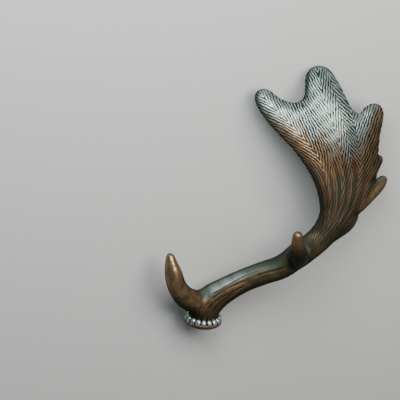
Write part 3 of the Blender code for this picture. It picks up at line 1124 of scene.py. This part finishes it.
@dataclass(frozen=True)
class SkinFinish:
    """The patinated finish of the skin, with painted light: brown where it is rubbed, grey green painted on
    the side that faces the light, painted shade in dark places.
    """

    deep: Colour = (0.078, 0.060, 0.032)
    copper: Colour = (0.290, 0.180, 0.098)
    # Grey green, painted on the side that faces the light
    teal: Colour = (0.085, 0.115, 0.098)
    bronze: Colour = (0.340, 0.215, 0.120)
    # Pale patina of the upper palm, partly a painted highlight
    pale: Colour = (0.265, 0.322, 0.306)
    red: Colour = (0.200, 0.055, 0.028)
    bottle: Colour = (0.060, 0.095, 0.070)
    dark: Colour = (0.006, 0.009, 0.007)
    painted_shade: Colour = (0.014, 0.020, 0.013)
    metallic: float = 0.75
    roughness: float = 0.34
    edge_tint: Colour = (0.35, 0.38, 0.36)
    edge_strength: float = 0.4
    grain_scale: float = 900.0
    cloud_scale: float = 26.0
    streak_scale: float = 60.0
    grain_depth: float = 0.00022

    def material(self) -> bpy.types.Material:
        """Build the material from the numbers stored on the skin.

        Returns:
            The material of every piece of the skin.
        """
        shade = Shade("antler patina")
        facing = shade.attribute("facing")
        groove = shade.attribute("groove")
        channel = shade.attribute("channel")
        rise = shade.attribute("rise")
        palm = shade.attribute("palm")
        pale = shade.attribute("pale")
        polish = shade.attribute("polish")
        crown = shade.attribute("crown")
        painted_flank_shade = shade.attribute("painted_flank_shade")
        painted_shade = shade.attribute("painted_shade")
        cloud = shade.noise(self.cloud_scale, 4.0)
        fleck = shade.noise(self.grain_scale, 2.0)
        streak = shade.noise(self.streak_scale, 3.0, 0.6)

        # Brown below, grey green painted on the side that faces the light, and pale on the upper palm, partly
        # as a painted highlight
        warm = shade.mix(self.deep, self.copper, streak.ramp(0.20, 0.85))
        warm = shade.mix(warm, self.bronze, palm * 0.75)
        cool = shade.mix(self.teal, self.pale, pale.ramp(0.0, 0.7))
        # Painted light: grey green on the side that faces the light
        turned = (facing + (cloud - 0.5) * 0.40).ramp(0.55, 1.05) * (1 - palm)
        # Pale upper palm, partly a painted highlight
        patina_and_painted_light = (pale * 1.1 + (cloud - 0.5) * 0.35 * palm - groove * 0.25).ramp(0.10, 0.85)
        base = shade.mix(warm, cool, turned.highest(patina_and_painted_light))

        # Channels red at their sides and green in the middle, striae and grooves dark
        base = shade.mix(base, self.red, channel.ramp(0.30, 0.65) * 0.75)
        base = shade.mix(base, self.bottle, channel.ramp(0.70, 0.98) * 0.9)
        sunken = shade.mix(self.bottle, self.dark, rise.ramp(0.0, 0.6, 0.35, 1.0).highest(1 - palm))
        base = shade.mix(base, sunken, (groove + (streak - 0.5) * 0.30).ramp(0.12, 0.62) * 0.95)

        # A red lower band on the crown, painted shade on the flanks and in dark places, copper on the rubbed
        # tips
        base = shade.mix(base, self.red, crown * 0.6)
        base = shade.mix(base, self.dark, painted_flank_shade.ramp(0.38, 0.85) * 0.88)
        base = shade.mix(base, self.painted_shade, painted_shade)
        base = shade.mix(base, self.copper, polish.ramp(0.3, 1.0) * 0.30)
        rough = self.roughness + groove * 0.20 + painted_shade * 0.30 - polish * 0.14 + (fleck - 0.5) * 0.08
        return shade.finish({
            "Base Color": base,
            "Metallic": self.metallic,
            "Roughness": rough,
            "Normal": shade.bump(fleck * 0.6 + streak, self.grain_depth),
            "Specular Tint": self.edge_tint,
            "Specular IOR Level": self.edge_strength})


@dataclass(frozen=True)
class PearlFinish:
    """The bright finish of the pearls, rubbed and partly a painted highlight, with painted shade between
    them.
    """

    bright: Colour = (0.36, 0.45, 0.43)
    bronze: Colour = (0.22, 0.13, 0.07)
    dark: Colour = (0.01, 0.022, 0.020)
    metallic: float = 0.8
    roughness: float = 0.24
    cloud_scale: float = 260.0
    pit_scale: float = 1400.0
    pit_depth: float = 0.0002

    def material(self) -> bpy.types.Material:
        """Build the material, bright on the fronts of the pearls, partly as a painted highlight, and painted
        shade in the gaps between them.

        Returns:
            The material of the pearls.
        """
        shade = Shade("pearl patina")
        cloud = shade.noise(self.cloud_scale, 3.0)
        pit = shade.noise(self.pit_scale, 2.0)
        # Bright, partly as a painted highlight
        base = shade.mix(self.bronze, self.bright, cloud.ramp(0.30, 0.52))
        base = shade.mix(base, self.dark, pit.ramp(0.62, 0.75) * 0.5)
        base = shade.mix(base, self.bronze, shade.attribute("foot") * 0.8)
        # Painted shade in the gaps between the pearls
        base = shade.mix(base, self.dark, shade.attribute("gap"))
        return shade.finish({
            "Base Color": base,
            "Metallic": self.metallic,
            "Roughness": self.roughness + (cloud - 0.5) * 0.1,
            "Normal": shade.bump(pit, self.pit_depth)})


@dataclass(frozen=True)
class FloorFinish:
    """The plain pale floor."""

    colour: Colour = (0.48, 0.48, 0.475)
    roughness: float = 0.7

    def material(self) -> bpy.types.Material:
        """Build the floor's material."""
        shade = Shade("pale floor")
        return shade.finish({"Base Color": self.colour, "Roughness": self.roughness})


@dataclass(frozen=True, eq=False)
class Marks:
    """Where the finish and the grain change over the skin. A spot is x, z, reach and strength."""

    # Where palm, tines, points and the foot of the beam begin
    tine_edge: Pair = (0.003, 0.018)
    fork_blend: Pair = (-0.032, 0.010)
    point_edge: Pair = (0.0, 0.006)
    point_floor: float = 0.35
    palm_edge: Pair = (0.001, 0.016)
    foot_height: Pair = (0.056, 0.044)
    foot_reach: Pair = (0.060, 0.045)
    crown_height: Pair = (-0.001, -0.006)
    palm_rise: Pair = (0.20, 0.33)
    tip_reach: Pair = (0.055, 0.008)

    # The side that faces the light, the pale upper palm, partly a painted highlight, and painted highlight
    # spots
    light_side: Triple = (-0.20, -0.76, 0.62)
    outer_side: Triple = (0.10, -0.93, 0.35)
    pale_edge: tuple[Pair, ...] = (
        (120, 330), (165, 312), (195, 298), (224, 284), (258, 268), (276, 296), (292, 335), (305, 365))
    pale_waves: tuple[Triple, ...] = ((0.007, 210.0, 0.0), (0.004, 480.0, 2.0))
    pale_rise: Pair = (-0.060, 0.070)
    pale_side: Pair = (0.05, 0.60)
    painted_highlight_spots: tuple[Spot, ...] = ((22, 48, 13, 0.55), (40, 57, 15, 0.55), (60, 67, 15, 0.40))
    painted_highlight_side: Pair = (0.35, 0.75)
    painted_highlight_loss: float = 0.8

    # Painted shade: dark spots where shade falls, the underside, and the palm where it faces forward
    painted_shade_spots: tuple[Spot, ...] = (
        (165, 92, 36, 0.85), (236, 128, 34, 0.9), (272, 168, 22, 0.35), (196, 160, 14, 0.35),
        (134, 66, 22, 0.4), (129, 97, 34, 0.72), (182, 122, 20, 0.95), (5, 33, 8, 0.55),
        (297, 320, 13, 0.45), (297, 292, 15, 0.50), (293, 262, 15, 0.45))
    under_side: Pair = (0.45, 0.90)
    front_side: Pair = (0.20, 0.62)
    under_painted_shade: float = 0.8

    # How dark and how red the grain is
    patch_waves: tuple[Triple, Triple] = ((120.0, 60.0, -90.0), (-60.0, 90.0, 130.0))
    patch_size: float = 0.25
    groove_dark: float = 0.48
    fine_dark: float = 0.45
    flute_dark: float = 0.7
    groove_red: float = 0.7
    fine_red: float = 0.4
    most_red: float = 0.48

    @staticmethod
    def facing(normals: Array, side: Triple) -> Array:
        """How squarely the skin faces a side, from -1 to 1."""
        return normals @ (np.array(side) / np.linalg.norm(side))

    @staticmethod
    def spots(points: Array, places: tuple[Spot, ...]) -> Array:
        """Read soft round spots.

        Args:
            points: Points on the skin, one row each.
            places: The spots, in millimetres.

        Returns:
            The strongest spot at each point, from 0 to 1.
        """
        flat = points[:, [0, 2]] / MM
        return np.max([
            share * np.exp(-((flat - (across, up)) ** 2).sum(axis=1) / reach ** 2)
            for across, up, reach, share in places], axis=0)

    def pale(self, points: Array, normals: Array) -> Array:
        """Read how pale the upper palm is, which is partly pale patina and partly a painted highlight.

        Args:
            points: Points on the skin, one row each.
            normals: The skin's normals there.

        Returns:
            How pale each point is, from 0 well below a wavy line to 1 well above it.
        """
        edge = np.array(self.pale_edge) * MM
        across = points[:, 0]
        sway = sum(size * np.sin(across * rate + start) for size, rate, start in self.pale_waves)
        above = points[:, 2] - np.interp(across, edge[:, 0], edge[:, 1]) + sway
        return ramp(above, *self.pale_rise) * ramp(self.facing(normals, self.outer_side), *self.pale_side)

    def patch(self, points: Array) -> Array:
        """How strong the striae are in soft patches, up to 1."""
        first, second = (np.sin(points @ np.array(wave)) for wave in self.patch_waves)
        return 1 - self.patch_size + self.patch_size * first * second

    @staticmethod
    def tine_gaps(points: Array) -> Array:
        """How far each point lies from the nearest tine."""
        return np.min([limb.distance(points) for limb in TINES], axis=0)

    def tips(self, points: Array) -> Array:
        """Read where the tips of the tines are rubbed.

        Args:
            points: Points on the skin, one row each.

        Returns:
            How near each point lies to a tip, from 0 to 1.
        """
        return np.max([
            ramp(np.linalg.norm(points - limb.rows[-1, :3], axis=1), *self.tip_reach)
            for limb in TINES], axis=0)

    def read(self, points: Array, normals: Array) -> tuple[dict[str, Array], Array]:
        """Work out the marks of the skin.

        Args:
            points: The points of the smooth skin, one row each.
            normals: Its normals there.

        Returns:
            The numbers that the finish reads, by name, and how deep each point is sunk.
        """
        height, radius, _ = BURR.read(points)
        at_foot = ramp(radius, *self.foot_reach)
        off_tine = ramp(self.tine_gaps(points), *self.tine_edge)
        point_gap = np.minimum(LOWER_POINT.distance(points), UPPER_POINT.distance(points))
        palm = ramp(PALM_FORK.past(points), *self.fork_blend)
        on_palm = palm * off_tine * at_least(self.point_floor, ramp(point_gap, *self.point_edge))
        on_beam = (1 - palm) * np.maximum(off_tine, ramp(height, *self.foot_height) * at_foot)

        stria, stria_depth = FEATHERING.relief(points)
        stria = stria * on_palm * self.patch(points)
        groove, fine, beam_depth = BeamGrain().relief(points)
        flute, flute_depth = Flutes().relief(points)
        beam_dark = np.maximum(self.groove_dark * groove, self.fine_dark * fine) * on_beam
        beam_red = np.clip(self.groove_red * groove + self.fine_red * fine, 0, self.most_red) * on_beam
        channel = CHANNELS.wave(points) * CHANNELS.strength(points) * off_tine

        facing = self.facing(normals, self.light_side)
        # Painted highlight spots on the side that faces the light
        painted_highlight_spots = self.spots(points, self.painted_highlight_spots) * ramp(facing, *self.painted_highlight_side)
        # Painted shade in dark spots, on the underside and where the palm faces forward
        under = ramp(-normals[:, 2], *self.under_side)
        front = ramp(-normals[:, 0], *self.front_side) * palm
        painted_shade = np.maximum(self.spots(points, self.painted_shade_spots), self.under_painted_shade * np.maximum(under, front))
        numbers = {
            # Painted light: how squarely the skin faces the light
            "facing": facing,
            "groove": np.clip(stria + beam_dark + self.flute_dark * flute, 0, 1),
            "channel": channel + beam_red,
            "rise": ramp(points[:, 2], *self.palm_rise),
            "palm": palm * off_tine * ramp(point_gap, *self.palm_edge),
            # Pale upper palm, partly a painted highlight, and painted highlight spots
            "pale": np.maximum(self.pale(points, normals) * palm, painted_highlight_spots * (1 - self.painted_highlight_loss * groove)),
            # Painted shade round the flanks, where the skin turns from its broad faces
            "painted_flank_shade": 1 - np.abs(normals[:, 1]),
            "painted_shade": np.clip(painted_shade, 0, 1),
            "polish": self.tips(points),
            "crown": ramp(height, *self.crown_height) * at_foot}
        return numbers, stria_depth * stria + beam_depth * on_beam + flute_depth


@dataclass
class Skin:
    """The skin of the antler: drawn, given its grain, and parted into one closed piece for each solid."""

    pose: Pose
    form: Form
    marks: Marks
    voxel: float = 0.00445
    passes: int = 2
    smooth_rounds: int = 3
    settle_steps: int = 4
    fine_levels: int = 2

    def block(self) -> SkinMesh:
        """Fuse the solids into one closed mesh of even squares.

        Returns:
            The mesh, in the frame in which the antler grows.
        """
        points, faces, start = [], [], 0
        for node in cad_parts.values():
            points.append(read_rows(node.data.vertices, "co"))
            faces.append(read_corners(node.data, 3) + start)
            start += len(node.data.vertices)
        joined = bpy.data.meshes.new("joined")
        joined.from_pydata(np.vstack(points).tolist(), [], np.vstack(faces).tolist())
        block = add_object("block", joined)
        fuse = block.modifiers.new("fuse", "REMESH")
        fuse.mode = "VOXEL"
        fuse.voxel_size = self.voxel
        skin = SkinMesh.read(evaluated_mesh(block))
        bpy.data.objects.remove(block, do_unlink=True)
        skin.points = self.pose.lift(skin.points)
        return skin.keep_largest()

    def smooth_skin(self) -> SkinMesh:
        """Draw the fused solids onto the smooth form and divide them finely.

        Returns:
            The smooth skin, with no grain yet.
        """
        skin = self.block()
        for _ in range(self.passes):
            skin.even_out(self.smooth_rounds)
            skin.points = self.form.settle(skin.points, self.settle_steps)
        coarse = add_object("coarse", skin.to_mesh("coarse"))
        divide = coarse.modifiers.new("divide", "SUBSURF")
        divide.levels = self.fine_levels
        divide.render_levels = self.fine_levels
        fine = SkinMesh.read(evaluated_mesh(coarse))
        bpy.data.objects.remove(coarse, do_unlink=True)
        return fine

    def build(self) -> tuple[SkinMesh, dict[str, Array]]:
        """Draw the skin and sink its grain into it.

        Returns:
            The finished skin and the numbers that its finish reads.
        """
        skin = self.smooth_skin()
        LOG.info("skin has %d points", len(skin.points))
        numbers, sunk = self.marks.read(skin.points, skin.normals())
        skin.points = skin.points - skin.normals() * sunk[:, None]
        return skin, numbers

    @staticmethod
    def parted(skin: SkinMesh) -> Array:
        """Part the skin at the forks.

        Args:
            skin: The whole skin.

        Returns:
            For every face, the place in Region of the piece that it belongs to.
        """
        middles = skin.points[skin.quads].mean(axis=1)
        order = list(Region)
        owner = np.zeros(len(middles), dtype=int)
        free = np.ones(len(middles), dtype=bool)
        for cut in CUTS:
            held = cut.holds(middles) & free
            owner[held] = order.index(cut.region)
            free &= ~held
        return owner

    def piece(
        self, name: str, skin: SkinMesh, faces: Array, numbers: dict[str, Array],
        material: bpy.types.Material) -> bpy.types.Object:
        """Make one closed piece from some faces of the skin.

        Args:
            name: The name of the piece.
            skin: The whole skin.
            faces: The faces that belong to the piece.
            numbers: The numbers that the finish reads, for every point of the skin.
            material: The finish.

        Returns:
            The piece, closed at its forks, with the skin's own normals up to the edge.
        """
        used, corners = np.unique(faces, return_inverse=True)
        quads = corners.reshape(-1, 4)
        points = self.pose.lay(skin.points[used])
        caps, hubs = self.caps(quads, points)
        mesh = bpy.data.meshes.new(name)
        mesh.from_pydata(np.vstack([points, hubs]).tolist(), [], quads.tolist() + caps.tolist())
        at_hubs = np.zeros(len(hubs))
        store(mesh, {key: np.concatenate([values[used], at_hubs]) for key, values in numbers.items()})
        mesh.shade_smooth()
        turned = skin.normals()[used] @ np.array(self.pose.matrix())[:3, :3].T
        flat = read_rows(mesh.polygon_normals, "vector")
        cap_normals = np.repeat(flat[len(quads):], 3, axis=0)
        mesh.normals_split_custom_set(np.vstack([turned[quads.ravel()], cap_normals]).tolist())
        mesh.materials.append(material)
        return add_object(name, mesh)

    @staticmethod
    def caps(quads: Array, points: Array) -> tuple[Array, Array]:
        """Close the open edges of a piece with fans.

        Args:
            quads: The faces of the piece.
            points: Its points.

        Returns:
            The triangles of the fans, and the middle point of each fan.
        """
        start = quads.ravel()
        end = np.roll(quads, -1, axis=1).ravel()
        count = len(points)
        forward = start.astype(np.int64) * count + end
        backward = end.astype(np.int64) * count + start
        edge = ~np.isin(forward, backward)
        follow = dict(zip(start[edge].tolist(), end[edge].tolist()))
        triangles, hubs = [], []
        while follow:
            first = min(follow)
            ring = [first]
            while ring[-1] in follow:
                ring.append(follow.pop(ring[-1]))
            hub = count + len(hubs)
            hubs.append(points[ring[:-1]].mean(axis=0))
            triangles += [(b, a, hub) for a, b in zip(ring, ring[1:])]
        return np.array(triangles, dtype=int).reshape(-1, 3), np.array(hubs).reshape(-1, 3)


@dataclass
class PearlRing:
    """The pearls that stand round the crown of the burr."""

    pose: Pose
    radius: float = 0.0271
    raised: float = 0.0044
    half_width: float = 0.0054
    half_height: float = 0.0070
    half_depth: float = 0.0048
    lean: float = math.radians(-24)
    unevenness: float = 0.08
    fineness: int = 4
    foot: Pair = (0.0015, -0.0025)
    # Where painted shade darkens the sides of the pearls at the gaps
    gap: Pair = (-0.45, -0.95)
    seed: int = 4

    def tree(self) -> bpy.types.NodeTree:
        """Build the node tree that sets one bead at every point of a circle.

        Returns:
            The tree, with its sizes as named inputs.
        """
        tree = bpy.data.node_groups.new("pearl ring", "GeometryNodeTree")
        sizes = {
            "Radius": self.radius, "Half Width": self.half_width, "Half Height": self.half_height,
            "Half Depth": self.half_depth, "Lean": self.lean, "Unevenness": self.unevenness}
        for name, value in sizes.items():
            socket = tree.interface.new_socket(name, in_out="INPUT", socket_type="NodeSocketFloat")
            socket.default_value = value
        counts = {"Count": BURR.pearls, "Fineness": self.fineness, "Seed": self.seed}
        for name, value in counts.items():
            socket = tree.interface.new_socket(name, in_out="INPUT", socket_type="NodeSocketInt")
            socket.default_value = value
        tree.interface.new_socket("Finish", in_out="INPUT", socket_type="NodeSocketMaterial")
        tree.interface.new_socket("Geometry", in_out="OUTPUT", socket_type="NodeSocketGeometry")
        graph = Graph(tree)
        given = graph.node("NodeGroupInput").outputs
        uneven = Wire(graph, given["Unevenness"])
        random = graph.node("FunctionNodeRandomValue", {"data_type": "FLOAT"}, {
            "Min_001": 1 - uneven, "Max_001": 1 + uneven, "Seed": given["Seed"]})
        grow = Wire(graph, random.outputs[1])
        circle = graph.node("GeometryNodeMeshCircle", {}, {
            "Vertices": given["Count"], "Radius": given["Radius"]})
        bead = graph.node("GeometryNodeMeshIcoSphere", {}, {
            "Radius": 1.0, "Subdivisions": given["Fineness"]})
        outward = graph.node("FunctionNodeAlignRotationToVector", {"axis": "X", "pivot_axis": "Z"}, {
            "Vector": graph.node("GeometryNodeInputPosition").outputs[0]})
        tilt = graph.node("FunctionNodeAxisAngleToRotation", {}, {
            "Axis": (0.0, 1.0, 0.0), "Angle": given["Lean"]})
        turned = graph.node("FunctionNodeRotateRotation", {"rotation_space": "LOCAL"}, {
            "Rotation": outward.outputs[0], "Rotate By": tilt.outputs[0]})
        height = Wire(graph, given["Half Height"]) * grow
        size = graph.node("ShaderNodeCombineXYZ", {}, {
            "X": given["Half Depth"], "Y": given["Half Width"], "Z": height})
        beads = graph.node("GeometryNodeInstanceOnPoints", {}, {
            "Points": circle.outputs["Mesh"], "Instance": bead.outputs["Mesh"],
            "Rotation": turned.outputs[0], "Scale": size.outputs[0]})
        real = graph.node("GeometryNodeRealizeInstances", {}, {"Geometry": beads.outputs["Instances"]})
        smooth = graph.node("GeometryNodeSetShadeSmooth", {}, {"Geometry": real.outputs["Geometry"]})
        dressed = graph.node("GeometryNodeSetMaterial", {}, {
            "Geometry": smooth.outputs["Geometry"], "Material": given["Finish"]})
        graph.node("NodeGroupOutput", {}, {"Geometry": dressed.outputs["Geometry"]})
        return tree

    def build(self, material: bpy.types.Material) -> bpy.types.Object:
        """Make the ring of pearls where it stands on the burr.

        Args:
            material: The finish of the pearls.

        Returns:
            The pearls as one object.
        """
        host = add_object("pearl host", bpy.data.meshes.new("pearl host"))
        modifier = host.modifiers.new("pearls", "NODES")
        modifier.node_group = self.tree()
        for item in modifier.node_group.interface.items_tree:
            if item.in_out == "INPUT" and item.name == "Finish":
                modifier[item.identifier] = material
        mesh = evaluated_mesh(host)
        bpy.data.objects.remove(host, do_unlink=True)
        mesh.transform(BURR.turn() @ Matrix.Translation((0, 0, self.raised)))
        height, _, angle = BURR.read(read_rows(mesh.vertices, "co"))
        store(mesh, {
            "foot": ramp(height, *self.foot),
            "gap": ramp(np.cos(angle * BURR.pearls), *self.gap)})
        mesh.transform(self.pose.matrix())
        return add_object("burr_pearls", mesh)


@dataclass(frozen=True)
class Lamp:
    """One soft light, placed as seen from the camera: to the right, up, and towards the viewer."""

    name: str
    right: float
    up: float
    toward: float
    distance: float
    size: float
    power: float
    colour: Colour


@dataclass
class Studio:
    """Floor, lights and camera."""

    pose: Pose
    lamps: tuple[Lamp, ...] = (
        Lamp("key", -0.12, 0.80, 2.2, 1.7, 0.9, 30.0, (0.93, 1.0, 1.0)),
        Lamp("rim", -0.95, 0.95, 1.1, 1.6, 0.5, 6.0, (0.86, 1.0, 0.97)),
        Lamp("fill", 0.95, 0.30, 1.6, 1.9, 1.3, 44.0, (1.0, 0.96, 0.90)))
    lamp_target: Triple = (0.0, 0.0, 0.06)
    floor_half: float = 4.0
    camera_distance: float = 2.0
    camera_range: float = 20.0
    world_colour: Colour = (0.80, 0.84, 0.88)
    world_strength: float = 0.18

    def axes(self) -> tuple[Vector, Vector, Vector]:
        """The camera's right, up and toward directions as the antler lies."""
        return self.pose.direction((1, 0, 0)), self.pose.direction((0, 0, 1)), self.pose.direction((0, -1, 0))

    def add_floor(self) -> None:
        """Lay the floor."""
        half = self.floor_half
        mesh = bpy.data.meshes.new("floor")
        corners = [(-half, -half, 0), (half, -half, 0), (half, half, 0), (-half, half, 0)]
        mesh.from_pydata(corners, [], [(0, 1, 2, 3)])
        mesh.materials.append(FloorFinish().material())
        add_object("floor", mesh)

    def add_lamps(self) -> None:
        """Place the soft lights."""
        right, up, toward = self.axes()
        target = Vector(self.lamp_target)
        for lamp in self.lamps:
            data = bpy.data.lights.new(lamp.name, "AREA")
            data.shape = "DISK"
            data.size = lamp.size
            data.energy = lamp.power
            data.color = lamp.colour
            obj = add_object(lamp.name, data)
            away = (right * lamp.right + up * lamp.up + toward * lamp.toward).normalized()
            obj.location = target + away * lamp.distance
            obj.rotation_euler = away.to_track_quat("Z", "Y").to_euler()

    def add_world(self) -> None:
        """Fill the room with dim even light."""
        world = bpy.data.worlds.new("room")
        world.use_nodes = True
        back = world.node_tree.nodes["Background"]
        back.inputs["Color"].default_value = (*self.world_colour, 1.0)
        back.inputs["Strength"].default_value = self.world_strength
        bpy.context.scene.world = world

    def add_camera(self) -> None:
        """Set the camera where the photo was seen from, with no perspective as there."""
        data = bpy.data.cameras.new("camera")
        data.type = "ORTHO"
        data.ortho_scale = PHOTO_PIXELS * MILLIMETRES_PER_PIXEL * MM
        data.clip_end = self.camera_range
        camera = add_object("camera", data)
        right, up, toward = self.axes()
        middle = Vector(self.pose.lay(np.array([PHOTO_MIDDLE]) * MM)[0])
        turn = Matrix((right, up, toward)).transposed().to_4x4()
        camera.matrix_world = Matrix.Translation(middle + toward * self.camera_distance) @ turn
        bpy.context.scene.camera = camera

    def build(self) -> None:
        """Set up the whole studio."""
        self.add_floor()
        self.add_lamps()
        self.add_world()
        self.add_camera()


def main() -> None:
    """Set up the studio, then dress the antler in it."""
    logging.basicConfig(level=logging.INFO, format="%(message)s")
    pose = Pose()
    Studio(pose).build()
    maker = Skin(pose, Form(), Marks())
    skin, numbers = maker.build()
    patina_and_painted_light = SkinFinish().material()
    owner = maker.parted(skin)
    for index, region in enumerate(Region):
        name = f"{region.value}_skin"
        piece = maker.piece(name, skin, skin.quads[owner == index], numbers, patina_and_painted_light)
        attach(piece, "root")
        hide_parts(region.value)
        LOG.info("%s has %d faces", name, len(piece.data.polygons))
    pearls = PearlRing(pose).build(PearlFinish().material())
    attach(pearls, "root")
    LOG.info("burr_pearls has %d faces", len(pearls.data.polygons))


if __name__ == "__main__":
    main()
